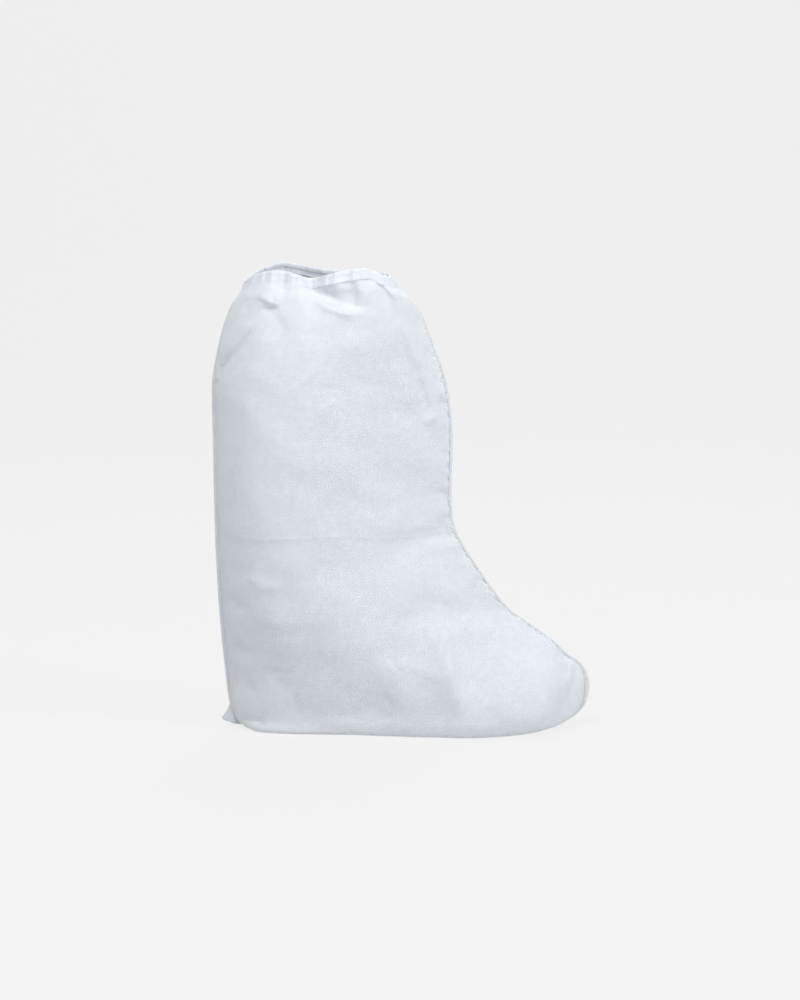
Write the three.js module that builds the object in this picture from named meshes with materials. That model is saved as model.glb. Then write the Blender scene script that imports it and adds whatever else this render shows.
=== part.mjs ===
import * as THREE from "three";
import { mergeVertices } from "three/addons/utils/BufferGeometryUtils.js";

// Knee-high boot cover of white nonwoven cloth, shown filled as it is when worn.
// Millimetres. X runs to the toe, Y to the wearer's left, Z up.
// The origin is on the inner face of the sole, under the axis of the leg.

// Driving sizes of the filled cover
const ANKLE_HEIGHT = 203;
const SHAFT_HEIGHT = 254.7;
const HEEL_REACH = 84;
const SHIN_REACH = 149.5;
const TOE_REACH = 288;
const CALF_WIDTH = 118;
const FOOT_WIDTH = 112;
const MOUTH_LENGTH = 156.5;
const MOUTH_WIDTH = 82;
const MOUTH_SHIFT = 21;
const RIM_ARCH = 21;

// Cloth, seams and hem
const CLOTH = 1.2;
const SEAM_ALLOWANCE = 3;
const HEEL_TAB = 17;
const TOE_LIP = 10;
const FIT_GAP = 0.3;
const HEM_HEIGHT = 9;
const HEM_TUCK = 3.4;
const HEM_ROUND = 0.8;
const ELASTIC_WIDTH = 5;
const ELASTIC_THICKNESS = 0.8;
const ELASTIC_DROP = 0.6;

// Gathers that the elastic draws into the cloth below the hem
const GATHER_DEPTH = 2;
const GATHER_REACH = 42;
const GATHER_WAVES = [
  { count: 8, start: 0.35, share: 0.6 },
  { count: 5, start: 0.1, share: 0.4 },
];

// Mesh density
const COLUMNS = 32;
const SOLE_ROWS = 3;
const GATHERED_LEVELS = 5;

// Levels of the foot. rise: share of the ankle height. back: share of the heel reach. front: share of the
// way from the shin to the toe tip. width: share of the foot width. back_power and front_power: how round
// or sharp the section's ends are. print: how much of the sole's own outline the level keeps. tab and lip:
// shares of the flat heel tab and of the flat toe lip.
const FOOT_LEVELS = [
  { rise: 0.0, back: 0.62, front: 0.73, width: 0.95, back_power: 0.5, front_power: 0.5, print: 1.0, tab: 0.8, lip: 0.0 },
  { rise: 0.02, back: 0.72, front: 0.83, width: 0.98, back_power: 0.5, front_power: 0.5, print: 1.0, tab: 1.0, lip: 0.1 },
  { rise: 0.055, back: 0.79, front: 0.91, width: 1.0, back_power: 0.5, front_power: 0.5, print: 1.0, tab: 0.5, lip: 0.4 },
  { rise: 0.11, back: 0.825, front: 0.975, width: 1.0, back_power: 0.5, front_power: 0.6, print: 0.95, tab: 0.0, lip: 0.8 },
  { rise: 0.18, back: 0.85, front: 1.0, width: 0.99, back_power: 0.5, front_power: 0.7, print: 0.8, tab: 0.0, lip: 1.0 },
  { rise: 0.26, back: 0.87, front: 0.99, width: 0.97, back_power: 0.5, front_power: 0.85, print: 0.6, tab: 0.0, lip: 1.0 },
  { rise: 0.32, back: 0.885, front: 0.935, width: 0.96, back_power: 0.5, front_power: 0.95, print: 0.45, tab: 0.0, lip: 0.8 },
  { rise: 0.36, back: 0.895, front: 0.85, width: 0.96, back_power: 0.5, front_power: 1.0, print: 0.35, tab: 0.0, lip: 0.4 },
  { rise: 0.43, back: 0.91, front: 0.74, width: 0.96, back_power: 0.5, front_power: 1.1, print: 0.2, tab: 0.0, lip: 0.1 },
  { rise: 0.51, back: 0.925, front: 0.58, width: 0.97, back_power: 0.5, front_power: 1.15, print: 0.1, tab: 0.0, lip: 0.0 },
  { rise: 0.59, back: 0.94, front: 0.42, width: 0.99, back_power: 0.5, front_power: 1.2, print: 0.0, tab: 0.0, lip: 0.0 },
  { rise: 0.7, back: 0.955, front: 0.29, width: 1.0, back_power: 0.5, front_power: 1.2, print: 0.0, tab: 0.0, lip: 0.0 },
  { rise: 0.8, back: 0.965, front: 0.19, width: 1.0, back_power: 0.5, front_power: 1.25, print: 0.0, tab: 0.0, lip: 0.0 },
  { rise: 0.9, back: 0.975, front: 0.095, width: 1.01, back_power: 0.5, front_power: 1.3, print: 0.0, tab: 0.0, lip: 0.0 },
];

// Levels of the shaft. rise: share of the shaft height. back: share of the heel reach. front: share of the
// shin reach. width: share of the calf width. mouth: how far the level has turned into the mouth's oval.
const SHAFT_LEVELS = [
  { rise: 0.0, back: 0.98, front: 1.02, width: 0.97, front_power: 1.3, mouth: 0.0 },
  { rise: 0.083, back: 0.985, front: 0.998, width: 0.98, front_power: 1.35, mouth: 0.0 },
  { rise: 0.176, back: 0.99, front: 0.994, width: 0.99, front_power: 1.4, mouth: 0.0 },
  { rise: 0.28, back: 0.99, front: 0.998, width: 1.0, front_power: 1.4, mouth: 0.0 },
  { rise: 0.384, back: 0.995, front: 1.0, width: 1.0, front_power: 1.4, mouth: 0.0 },
  { rise: 0.487, back: 1.0, front: 0.985, width: 1.0, front_power: 1.35, mouth: 0.0 },
  { rise: 0.591, back: 0.998, front: 0.958, width: 1.0, front_power: 1.25, mouth: 0.0 },
  { rise: 0.684, back: 0.966, front: 0.919, width: 0.99, front_power: 1.15, mouth: 0.0 },
  { rise: 0.767, back: 0.93, front: 0.88, width: 0.966, front_power: 1.0, mouth: 0.0 },
  { rise: 0.84, back: 0.89, front: 0.842, width: 0.924, front_power: 0.9, mouth: 0.0 },
  { rise: 0.902, back: 0.85, front: 0.812, width: 0.87, front_power: 0.8, mouth: 0.03 },
  { rise: 0.95, back: 0.8, front: 0.774, width: 0.81, front_power: 0.7, mouth: 0.12 },
  { rise: 1.0, back: 0.7, front: 0.65, width: 0.71, front_power: 0.5, mouth: 1.0 },
];

// Outline of the sole. turn: 0 at the heel to 1 at the toe, in equal steps of angle. half: share of half
// the foot width.
const SOLE_OUTLINE = [
  { turn: 0.0, half: 0.0 },
  { turn: 0.07, half: 0.3 },
  { turn: 0.13, half: 0.47 },
  { turn: 0.21, half: 0.59 },
  { turn: 0.29, half: 0.67 },
  { turn: 0.38, half: 0.74 },
  { turn: 0.48, half: 0.85 },
  { turn: 0.57, half: 0.96 },
  { turn: 0.64, half: 1.0 },
  { turn: 0.71, half: 0.94 },
  { turn: 0.79, half: 0.77 },
  { turn: 0.87, half: 0.52 },
  { turn: 0.94, half: 0.26 },
  { turn: 1.0, half: 0.0 },
];

// Dips of the mouth's edge below its highest place, as shares of the rim's arch, for each panel.
// turn: 0 at the back seam to 1 at the front seam.
const RIM_DIPS = [
  { turn: 0.0, right: 1.0, left: 1.0 },
  { turn: 0.1, right: 0.76, left: 0.68 },
  { turn: 0.24, right: 0.43, left: 0.26 },
  { turn: 0.33, right: 0.18, left: 0.03 },
  { turn: 0.42, right: 0.3, left: 0.18 },
  { turn: 0.47, right: 0.46, left: 0.29 },
  { turn: 0.53, right: 0.28, left: 0.38 },
  { turn: 0.61, right: 0.1, left: 0.5 },
  { turn: 0.7, right: 0.0, left: 0.5 },
  { turn: 0.78, right: 0.3, left: 0.5 },
  { turn: 0.88, right: 0.5, left: 0.6 },
  { turn: 1.0, right: 0.86, left: 0.86 },
];

// Folds and dents. side: -1 right panel, 1 left panel. Each runs from one point to another, across: share
// of the section from back to front, rise: share of the whole height. width and depth are shares of the
// fold width and the fold depth, and a negative depth is a dent.
const FOLD_WIDTH = 20;
const FOLD_DEPTH = 8;
const FOLDS = [
  { side: -1, across: 0.3, rise: 0.985, to_across: 0.24, to_rise: 0.945, width: 0.45, depth: -0.7 },
  { side: -1, across: 0.16, rise: 0.965, to_across: 0.25, to_rise: 0.925, width: 0.5, depth: 0.5 },
  { side: -1, across: 0.18, rise: 0.905, to_across: 0.28, to_rise: 0.89, width: 0.5, depth: -0.3 },
  { side: -1, across: 0.42, rise: 0.975, to_across: 0.53, to_rise: 0.935, width: 0.6, depth: 0.75 },
  { side: -1, across: 0.53, rise: 0.935, to_across: 0.66, to_rise: 0.895, width: 0.6, depth: 0.75 },
  { side: -1, across: 0.62, rise: 0.96, to_across: 0.7, to_rise: 0.935, width: 0.8, depth: -0.9 },
  { side: -1, across: 0.21, rise: 0.865, to_across: 0.06, to_rise: 0.775, width: 0.45, depth: -0.35 },
  { side: -1, across: 0.3, rise: 0.86, to_across: 0.43, to_rise: 0.76, width: 1.1, depth: -0.45 },
  { side: -1, across: 0.43, rise: 0.76, to_across: 0.56, to_rise: 0.6, width: 1.1, depth: -0.45 },
  { side: -1, across: 0.56, rise: 0.6, to_across: 0.58, to_rise: 0.47, width: 1.1, depth: -0.4 },
  { side: -1, across: 0.58, rise: 0.47, to_across: 0.63, to_rise: 0.35, width: 1.1, depth: -0.4 },
  { side: -1, across: 0.63, rise: 0.35, to_across: 0.64, to_rise: 0.2, width: 0.9, depth: -0.25 },
  { side: -1, across: 0.86, rise: 0.88, to_across: 0.91, to_rise: 0.79, width: 0.5, depth: 0.3 },
  { side: -1, across: 0.64, rise: 0.26, to_across: 0.645, to_rise: 0.05, width: 0.8, depth: 0.5 },
  { side: -1, across: 0.71, rise: 0.21, to_across: 0.7, to_rise: 0.03, width: 0.9, depth: -0.5 },
  { side: 1, across: 0.22, rise: 0.975, to_across: 0.3, to_rise: 0.9, width: 0.7, depth: -0.6 },
  { side: 1, across: 0.36, rise: 0.975, to_across: 0.4, to_rise: 0.91, width: 0.65, depth: 0.5 },
  { side: 1, across: 0.52, rise: 0.97, to_across: 0.46, to_rise: 0.88, width: 0.7, depth: -0.55 },
  { side: 1, across: 0.74, rise: 0.965, to_across: 0.66, to_rise: 0.86, width: 0.7, depth: 0.5 },
  { side: 1, across: 0.34, rise: 0.86, to_across: 0.5, to_rise: 0.7, width: 1.1, depth: -0.4 },
  { side: 1, across: 0.5, rise: 0.7, to_across: 0.57, to_rise: 0.5, width: 1.2, depth: -0.45 },
  { side: 1, across: 0.57, rise: 0.5, to_across: 0.63, to_rise: 0.3, width: 1.0, depth: -0.35 },
  { side: 1, across: 0.12, rise: 0.3, to_across: 0.3, to_rise: 0.12, width: 0.9, depth: 0.3 },
  { side: 1, across: 0.62, rise: 0.24, to_across: 0.6, to_rise: 0.05, width: 0.85, depth: 0.45 },
  { side: 1, across: 0.68, rise: 0.2, to_across: 0.68, to_rise: 0.04, width: 0.9, depth: -0.45 },
];

const FLOOR = -CLOTH;
const PANEL_TOP = ANKLE_HEIGHT + SHAFT_HEIGHT;
const TOTAL_HEIGHT = PANEL_TOP + FIT_GAP + HEM_HEIGHT;
const HALF_GAP = FIT_GAP / 2;
const BACK_POWER = 0.5;
const DIP_START = 0.48;
const HEM_HOLD = 0.8;
const HOLD_POWER = 12;

function footLevel(row) {
  return {
    height: row.rise * ANKLE_HEIGHT,
    back: -row.back * HEEL_REACH,
    front: SHIN_REACH + row.front * (TOE_REACH - SHIN_REACH),
    half: (row.width * FOOT_WIDTH) / 2,
    back_power: row.back_power,
    front_power: row.front_power,
    print: row.print,
    tab: row.tab,
    lip: row.lip,
    mouth: 0,
  };
}

function shaftLevel(row) {
  const middle = MOUTH_SHIFT;
  const mix = THREE.MathUtils.lerp;
  return {
    height: ANKLE_HEIGHT + row.rise * SHAFT_HEIGHT,
    back: mix(-row.back * HEEL_REACH, middle - MOUTH_LENGTH / 2, row.mouth),
    front: mix(row.front * SHIN_REACH, middle + MOUTH_LENGTH / 2, row.mouth),
    half: mix((row.width * CALF_WIDTH) / 2, MOUTH_WIDTH / 2, row.mouth),
    back_power: BACK_POWER,
    front_power: row.front_power,
    print: 0,
    tab: 0,
    lip: 0,
    mouth: row.mouth,
  };
}

const LEVELS = [...FOOT_LEVELS.map(footLevel), ...SHAFT_LEVELS.map(shaftLevel)];

// Smooth value of one column of a table at a place between its rows.
function tableValue(rows, key, column, at) {
  let low = 0;
  while (low < rows.length - 2 && rows[low + 1][key] < at) {
    low += 1;
  }
  const before = rows[Math.max(low - 1, 0)];
  const start = rows[low];
  const end = rows[low + 1];
  const after = rows[Math.min(low + 2, rows.length - 1)];
  const span = end[key] - start[key];
  const share = THREE.MathUtils.clamp((at - start[key]) / span, 0, 1);
  const startSlope = ((end[column] - before[column]) / (end[key] - before[key])) * span;
  const endSlope = ((after[column] - start[column]) / (after[key] - start[key])) * span;
  const square = share * share;
  const cube = square * share;
  return (
    (2 * cube - 3 * square + 1) * start[column] +
    (cube - 2 * square + share) * startSlope +
    (3 * square - 2 * cube) * end[column] +
    (cube - square) * endSlope
  );
}

function levelAt(height) {
  const level = { height };
  for (const column of Object.keys(LEVELS[0])) {
    if (column !== "height") {
      level[column] = tableValue(LEVELS, "height", column, height);
    }
  }
  level.print = THREE.MathUtils.clamp(level.print, 0, 1);
  level.tab = Math.max(level.tab, 0);
  level.lip = Math.max(level.lip, 0);
  return level;
}

// Half width of a section as a share of its widest place, for a turn from 0 at the back to 1 at the front.
function sectionShape(level, turn) {
  const along = (1 - Math.cos(Math.PI * turn)) / 2;
  const widest = level.back_power / (level.back_power + level.front_power);
  const rise = (along / widest) ** level.back_power;
  const fall = ((1 - along) / (1 - widest)) ** level.front_power;
  const printed = Math.max(tableValue(SOLE_OUTLINE, "turn", "half", turn), 0);
  return THREE.MathUtils.lerp(rise * fall, printed, level.print);
}

function foldPoint(across, rise) {
  const level = levelAt(rise * TOTAL_HEIGHT);
  const x = THREE.MathUtils.lerp(level.back, level.front, across);
  return new THREE.Vector3(x, 0, level.height);
}

const FOLD_LINES = FOLDS.map((row) => ({
  side: row.side,
  line: new THREE.Line3(foldPoint(row.across, row.rise), foldPoint(row.to_across, row.to_rise)),
  width: row.width * FOLD_WIDTH,
  depth: row.depth * FOLD_DEPTH,
}));

function foldDepth(side, x, height) {
  const point = new THREE.Vector3(x, 0, height);
  const nearest = new THREE.Vector3();
  let depth = 0;
  for (const fold of FOLD_LINES.filter((candidate) => candidate.side === side)) {
    fold.line.closestPointToPoint(point, true, nearest);
    depth += fold.depth * Math.exp(-((point.distanceTo(nearest) / fold.width) ** 2));
  }
  return depth;
}

function gatherDepth(side, turn, height) {
  const drop = (PANEL_TOP - height) / GATHER_REACH;
  let wave = 0;
  for (const row of GATHER_WAVES) {
    wave += row.share * Math.cos(2 * Math.PI * (row.count * turn + side * row.start));
  }
  return GATHER_DEPTH * wave * Math.exp(-drop * drop);
}

// Displacement of the cloth at a place. It fades out at both seams, and folds are shallower at the hem.
function reliefAt(side, turn, x, height) {
  const fade = Math.sin(Math.PI * turn);
  const folds = foldDepth(side, x, height) * (1 - HEM_HOLD * hemShare(height) ** HOLD_POWER);
  return fade * (folds + gatherDepth(side, turn, height));
}

// How far a height is from the middle of the shaft, 0, towards the hem, 1.
function hemShare(height) {
  const share = (height - ANKLE_HEIGHT) / SHAFT_HEIGHT;
  return THREE.MathUtils.smoothstep(share, DIP_START, 1);
}

// The mouth's edge dips, and the levels of the upper shaft follow it.
function rimDip(side, turn, height) {
  const dip = tableValue(RIM_DIPS, "turn", side < 0 ? "right" : "left", turn);
  return RIM_ARCH * dip * hemShare(height);
}

// Inner line of the cloth at one level, from the edge of the back seam to the edge of the front seam.
function innerLine(side, height) {
  const level = levelAt(height);
  const bodyFront = level.front - TOE_LIP * level.lip;
  const hem = hemShare(height);
  const points = [];
  for (let column = 0; column <= COLUMNS; column += 1) {
    const turn = column / COLUMNS;
    const along = (1 - Math.cos(Math.PI * turn)) / 2;
    const x = THREE.MathUtils.lerp(level.back, bodyFront, along);
    const half = level.half * sectionShape(level, turn) + reliefAt(side, turn, x, height);
    const y = HALF_GAP + Math.max(half, 0);
    points.push(new THREE.Vector3(x, y, height - rimDip(side, turn, height)));
  }
  const allowance = SEAM_ALLOWANCE * (1 - hem / 2);
  const first = points[0];
  const last = points[COLUMNS];
  const backEdge = first.x - HEEL_TAB * level.tab - allowance;
  const frontEdge = last.x + TOE_LIP * level.lip + allowance;
  return [
    new THREE.Vector3(backEdge, HALF_GAP, first.z),
    ...points,
    new THREE.Vector3(frontEdge, HALF_GAP, last.z),
  ];
}

// A line moved sideways in plan, to the left of its direction, by a distance.
function offsetLine(points, distance, closed) {
  const count = points.length;
  const at = (index) => points[closed ? (index + count) % count : THREE.MathUtils.clamp(index, 0, count - 1)];
  const sideways = (from, to) => new THREE.Vector2(from.y - to.y, to.x - from.x).normalize();
  return points.map((point, index) => {
    const start = closed || index > 0;
    const end = closed || index < count - 1;
    const before = start ? sideways(at(index - 1), point) : sideways(point, at(index + 1));
    const after = end ? sideways(point, at(index + 1)) : before;
    const middle = before.clone().add(after).normalize();
    const reach = distance / Math.max(middle.dot(after), 0.6);
    return new THREE.Vector3(point.x + middle.x * reach, point.y + middle.y * reach, point.z);
  });
}

// Heights of the rows of cloth: every level, and one more between the levels that the elastic gathers.
function rowHeights() {
  const heights = LEVELS.map((level) => level.height);
  const gathered = heights.slice(-GATHERED_LEVELS);
  const between = gathered.slice(1).map((height, index) => (height + gathered[index]) / 2);
  return [...heights, ...between].sort((low, high) => low - high);
}

// Rows of the outer and inner faces of one panel, from the middle of the sole out and up to the hem.
function panelRows(side) {
  const rows = rowHeights().map((height) => {
    const inner = innerLine(side, height);
    const outer = offsetLine(inner, CLOTH, false);
    for (const point of outer) {
      point.y = Math.max(point.y, HALF_GAP + CLOTH);
    }
    return { inner, outer };
  });
  const edge = rows[0];
  edge.inner.forEach((point) => point.setZ(CLOTH));
  const sole = [];
  for (let row = 0; row < SOLE_ROWS; row += 1) {
    const share = row / SOLE_ROWS;
    const narrow = (point) => new THREE.Vector3(point.x, HALF_GAP + (point.y - HALF_GAP) * share, point.z);
    sole.push({ inner: edge.inner.map(narrow), outer: edge.outer.map(narrow) });
  }
  return [...sole, ...rows];
}

// Closed mesh from two faces given as rows of points.
function clothGeometry(rows, side) {
  const width = rows[0].inner.length;
  const positions = [];
  const place = (point) => positions.push(point.x, side * point.y, point.z + FLOOR);
  rows.forEach((row) => row.outer.forEach(place));
  rows.forEach((row) => row.inner.forEach(place));
  const layer = rows.length * width;
  const indices = [];
  const quad = (a, b, c, d) => {
    indices.push(...(side > 0 ? [a, c, b, a, d, c] : [a, b, c, a, c, d]));
  };
  for (let row = 0; row < rows.length - 1; row += 1) {
    for (let column = 0; column < width - 1; column += 1) {
      const corner = row * width + column;
      quad(corner, corner + 1, corner + width + 1, corner + width);
      quad(layer + corner, layer + corner + width, layer + corner + width + 1, layer + corner + 1);
    }
  }
  const top = (rows.length - 1) * width;
  for (let column = 0; column < width - 1; column += 1) {
    quad(column, layer + column, layer + column + 1, column + 1);
    quad(top + column, top + column + 1, layer + top + column + 1, layer + top + column);
  }
  for (let row = 0; row < rows.length - 1; row += 1) {
    const first = row * width;
    const last = first + width - 1;
    quad(first, first + width, layer + first + width, layer + first);
    quad(last, layer + last, layer + last + width, last + width);
  }
  return closedGeometry(positions, indices);
}

// Merges points that share a place and leaves out the triangles that this flattens.
function closedGeometry(positions, indices) {
  const geometry = new THREE.BufferGeometry();
  geometry.setAttribute("position", new THREE.Float32BufferAttribute(positions, 3));
  geometry.setIndex(indices);
  const merged = mergeVertices(geometry, 1e-3);
  const corners = merged.index.array;
  const kept = [];
  for (let start = 0; start < corners.length; start += 3) {
    const [a, b, c] = corners.slice(start, start + 3);
    if (a !== b && b !== c && c !== a) {
      kept.push(a, b, c);
    }
  }
  merged.setIndex(kept);
  merged.computeVertexNormals();
  return merged;
}

// Closed line of the mouth, on the middle of the cloth at the hem's lower edge.
function mouthLine() {
  const right = innerLine(-1, PANEL_TOP).slice(1, -1);
  const left = innerLine(1, PANEL_TOP).slice(2, -2).reverse();
  const place = (point, side) => new THREE.Vector3(point.x, side * point.y, point.z + FLOOR + FIT_GAP);
  const loop = [...right.map((point) => place(point, -1)), ...left.map((point) => place(point, 1))];
  return loop;
}

// Ring of one section along the mouth's line. out: distance outward from the line. up: height above it.
function ringGeometry(section) {
  const loop = mouthLine();
  const lines = section.map((corner) => offsetLine(loop, -corner.out - CLOTH / 2, true));
  const positions = [];
  lines.forEach((line, corner) => {
    line.forEach((point) => positions.push(point.x, point.y, point.z + section[corner].up));
  });
  const count = loop.length;
  const indices = [];
  for (let corner = 0; corner < section.length; corner += 1) {
    const next = (corner + 1) % section.length;
    for (let step = 0; step < count; step += 1) {
      const ahead = (step + 1) % count;
      const a = corner * count + step;
      const b = corner * count + ahead;
      const c = next * count + ahead;
      const d = next * count + step;
      indices.push(a, b, c, a, c, d);
    }
  }
  return closedGeometry(positions, indices);
}

// Hem: cloth folded over the elastic, with the inner leg shorter, so that the elastic shows in the mouth.
function hemSection() {
  const inside = ELASTIC_THICKNESS / 2 + FIT_GAP;
  const outside = inside + CLOTH;
  const ceiling = HEM_HEIGHT - CLOTH;
  return [
    { out: outside, up: 0 },
    { out: outside, up: HEM_HEIGHT - HEM_ROUND },
    { out: outside - HEM_ROUND, up: HEM_HEIGHT },
    { out: HEM_ROUND - outside, up: HEM_HEIGHT },
    { out: -outside, up: HEM_HEIGHT - HEM_ROUND },
    { out: -outside, up: HEM_TUCK },
    { out: -inside, up: HEM_TUCK },
    { out: -inside, up: ceiling },
    { out: inside, up: ceiling },
    { out: inside, up: 0 },
  ];
}

function elasticSection() {
  const half = ELASTIC_THICKNESS / 2;
  const top = HEM_HEIGHT - CLOTH - ELASTIC_DROP;
  return [
    { out: half, up: top - ELASTIC_WIDTH },
    { out: half, up: top },
    { out: -half, up: top },
    { out: -half, up: top - ELASTIC_WIDTH },
  ];
}

function namedMesh(name, geometry, colour, roughness) {
  const material = new THREE.MeshStandardMaterial({ color: colour, roughness, metalness: 0 });
  const mesh = new THREE.Mesh(geometry, material);
  mesh.name = name;
  return mesh;
}

const bootCover = new THREE.Group();
bootCover.add(namedMesh("right_panel", clothGeometry(panelRows(-1), -1), 0xe6eaf0, 0.85));
bootCover.add(namedMesh("left_panel", clothGeometry(panelRows(1), 1), 0xe6eaf0, 0.85));
bootCover.add(namedMesh("top_hem", ringGeometry(hemSection()), 0xeef1f5, 0.85));
bootCover.add(namedMesh("elastic_band", ringGeometry(elasticSection()), 0xd9cfc4, 0.7));

export default bootCover;
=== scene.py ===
# %% [markdown]
# # A boot cover of white nonwoven cloth
# The real thing is a limp bag: two panels of spunbond cloth, cut like a stocking, sewn together down the
# back, under the sole, round the toe and up the front, with a narrow elastic in a hem round the mouth.
# A foot and leg hold it open when it is worn, and that is the form that this lesson builds.
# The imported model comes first. It fixes the size, and every piece made here stays in its place.

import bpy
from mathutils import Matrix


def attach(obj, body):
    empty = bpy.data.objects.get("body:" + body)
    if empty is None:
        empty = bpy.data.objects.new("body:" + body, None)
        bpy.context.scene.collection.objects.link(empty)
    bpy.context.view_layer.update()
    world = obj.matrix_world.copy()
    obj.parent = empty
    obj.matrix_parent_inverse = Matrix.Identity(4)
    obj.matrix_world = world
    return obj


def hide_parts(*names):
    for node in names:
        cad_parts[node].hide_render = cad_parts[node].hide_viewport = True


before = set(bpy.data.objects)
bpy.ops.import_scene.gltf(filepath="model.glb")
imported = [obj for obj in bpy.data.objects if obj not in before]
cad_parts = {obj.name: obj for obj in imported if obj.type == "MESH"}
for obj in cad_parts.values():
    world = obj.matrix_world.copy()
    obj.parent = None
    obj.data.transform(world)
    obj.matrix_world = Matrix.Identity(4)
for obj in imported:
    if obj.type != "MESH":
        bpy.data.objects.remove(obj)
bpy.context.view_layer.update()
print("packed nodes:", sorted(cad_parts))

# %% Modules and units
import math

import bpy
import numpy as np
from mathutils import Vector

MM = 0.001
RIGHT, LEFT = -1, 1
print("one millimetre is", MM, "of Blender's units")

# %% [markdown]
# ## Sizes
# Cloth has no size of its own once it is filled, so the sizes are those of the filled form: how far the
# heel, the shin and the toe lie from the axis of the leg, and how wide the calf, the foot and the mouth are.
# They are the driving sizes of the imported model, so the fine cloth lies where the solid walls lie.

# %% Driving sizes
ANKLE_HEIGHT = 203 * MM
SHAFT_HEIGHT = 254.7 * MM
HEEL_REACH = 84 * MM
SHIN_REACH = 149.5 * MM
TOE_REACH = 288 * MM
CALF_WIDTH = 118 * MM
FOOT_WIDTH = 112 * MM
MOUTH_LENGTH = 156.5 * MM
MOUTH_WIDTH = 82 * MM
MOUTH_SHIFT = 21 * MM
RIM_ARCH = 21 * MM
WALL = 1.2 * MM
SEAM_ALLOWANCE = 3 * MM
HEEL_TAB = 17 * MM
TOE_LIP = 10 * MM
HEM_HEIGHT = 9 * MM
HEM_GAP = 0.3 * MM
PANEL_TOP = ANKLE_HEIGHT + SHAFT_HEIGHT
TOTAL_HEIGHT = PANEL_TOP + HEM_GAP + HEM_HEIGHT
FLOOR = -WALL
print("floor at", round(FLOOR / MM, 2), "mm, cover", round(TOTAL_HEIGHT / MM, 1), "mm high")


# %% [markdown]
# ## Tables that read like a pattern maker's notes
# A table has named columns and a row for each level of the cover. Lengths are shares of the driving sizes.
# Between rows a smooth curve runs through the values, so that few rows are enough for a soft form.

# %% Table helpers
def table(columns, *rows):
    return {name: np.array(values, float) for name, values in zip(columns.split(), zip(*rows))}


def smooth_value(rows, column, at):
    """Value of a column at places between the rows, along a Catmull-Rom curve."""
    keys = next(iter(rows.values()))
    values = rows[column]
    last = len(keys) - 1
    low = np.clip(np.searchsorted(keys, at) - 1, 0, last - 1)
    before = np.maximum(low - 1, 0)
    after = np.minimum(low + 2, last)
    span = keys[low + 1] - keys[low]
    t = np.clip((at - keys[low]) / span, 0, 1)
    start_slope = (values[low + 1] - values[before]) / (keys[low + 1] - keys[before]) * span
    end_slope = (values[after] - values[low]) / (keys[after] - keys[low]) * span
    start_part = (2 * t**3 - 3 * t**2 + 1) * values[low] + (t**3 - 2 * t**2 + t) * start_slope
    return start_part + (3 * t**2 - 2 * t**3) * values[low + 1] + (t**3 - t**2) * end_slope


def smoothstep(value, start, end):
    t = np.clip((value - start) / (end - start), 0, 1)
    return t * t * (3 - 2 * t)


halfway = smooth_value(table("at value", (0, 0), (1, 4), (2, 0)), "value", 0.5)
print("a test table halfway up its rise:", halfway)

# %% [markdown]
# ## The levels of the cover
# The cover is described from the floor up. The foot's table ends at the ankle and the shaft's table goes on
# from there to the hem. back and front say how far the row reaches, width how wide it is, and front_power how
# thin it runs out at the shin. print is the share of the sole's outline in a row, tab and lip are the flat
# ears of cloth at heel and toe, and mouth is the share of the gathered mouth.

# %% Levels of the foot
FOOT_LEVELS = table(
    "rise back front width front_power print tab lip",
    (0.0, 0.62, 0.73, 0.95, 0.5, 1.0, 0.8, 0.0),
    (0.02, 0.72, 0.83, 0.98, 0.5, 1.0, 1.0, 0.1),
    (0.055, 0.79, 0.91, 1.0, 0.5, 1.0, 0.5, 0.4),
    (0.11, 0.825, 0.975, 1.0, 0.6, 0.95, 0.0, 0.8),
    (0.18, 0.85, 1.0, 0.99, 0.7, 0.8, 0.0, 1.0),
    (0.26, 0.87, 0.99, 0.97, 0.85, 0.6, 0.0, 1.0),
    (0.32, 0.885, 0.935, 0.96, 0.95, 0.45, 0.0, 0.8),
    (0.36, 0.895, 0.85, 0.96, 1.0, 0.35, 0.0, 0.4),
    (0.43, 0.91, 0.74, 0.96, 1.1, 0.2, 0.0, 0.1),
    (0.51, 0.925, 0.58, 0.97, 1.15, 0.1, 0.0, 0.0),
    (0.59, 0.94, 0.42, 0.99, 1.2, 0.0, 0.0, 0.0),
    (0.7, 0.955, 0.29, 1.0, 1.2, 0.0, 0.0, 0.0),
    (0.8, 0.965, 0.19, 1.0, 1.25, 0.0, 0.0, 0.0),
    (0.9, 0.975, 0.095, 1.01, 1.3, 0.0, 0.0, 0.0),
)
print("rows of the foot:", len(FOOT_LEVELS["rise"]))

# %% Levels of the shaft
SHAFT_LEVELS = table(
    "rise back front width front_power mouth",
    (0.0, 0.98, 1.02, 0.97, 1.3, 0.0),
    (0.083, 0.985, 0.998, 0.98, 1.35, 0.0),
    (0.176, 0.99, 0.994, 0.99, 1.4, 0.0),
    (0.28, 0.99, 0.998, 1.0, 1.4, 0.0),
    (0.384, 0.995, 1.0, 1.0, 1.4, 0.0),
    (0.487, 1.0, 0.985, 1.0, 1.35, 0.0),
    (0.591, 0.998, 0.958, 1.0, 1.25, 0.0),
    (0.684, 0.966, 0.919, 0.99, 1.15, 0.0),
    (0.767, 0.93, 0.88, 0.966, 1.0, 0.0),
    (0.84, 0.89, 0.842, 0.924, 0.9, 0.0),
    (0.902, 0.85, 0.812, 0.87, 0.8, 0.03),
    (0.95, 0.8, 0.774, 0.81, 0.7, 0.12),
    (1.0, 0.7, 0.65, 0.71, 0.5, 1.0),
)
print("rows of the shaft:", len(SHAFT_LEVELS["rise"]))

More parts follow.
